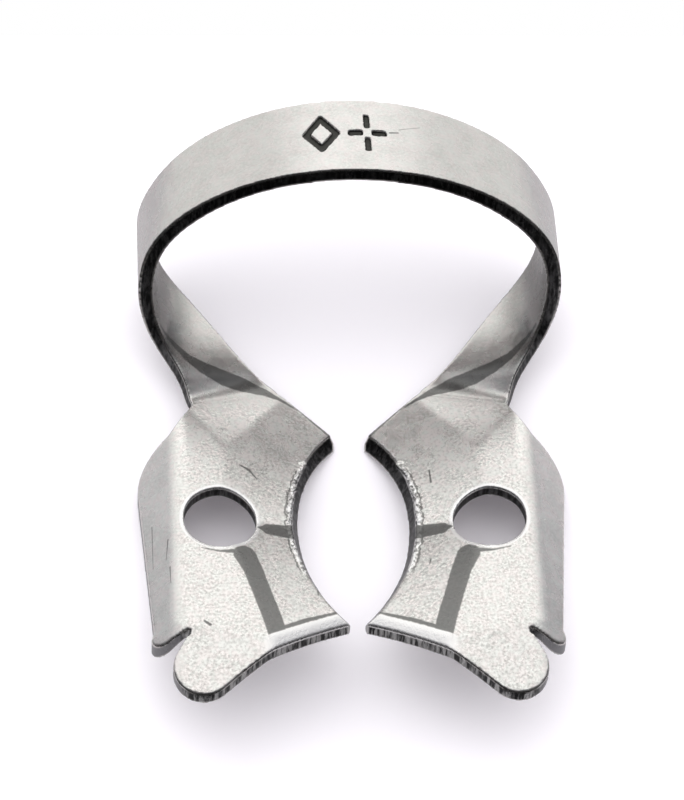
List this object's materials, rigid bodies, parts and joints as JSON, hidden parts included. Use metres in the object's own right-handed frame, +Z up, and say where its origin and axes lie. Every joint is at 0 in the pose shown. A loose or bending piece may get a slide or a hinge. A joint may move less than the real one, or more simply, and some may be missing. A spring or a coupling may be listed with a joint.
{
  "type": "rubber dam clamp",
  "caption": "Spring steel dental dam clamp: a high arched bow joins flat pronged jaws with forceps holes, front lobes and side wings bent down, round an oval tooth opening.",
  "frame": {"origin": "middle of the outer box in plan, on the surface the clamp rests on", "axes": "+X across the jaws to the viewer's right, +Y from the front lobes back to the bow, +Z up; the clamp rests on its distal prong tips and the roots of the bow's legs"},
  "size_m": [0.0198, 0.0282, 0.0108],
  "materials": {
    "spring_steel": "tumbled stainless spring steel, bright and finely speckled, with darker sheared edges"
  },
  "bodies": {
    "root": {"clamp": "spring_steel"}
  },
  "joints": []
}
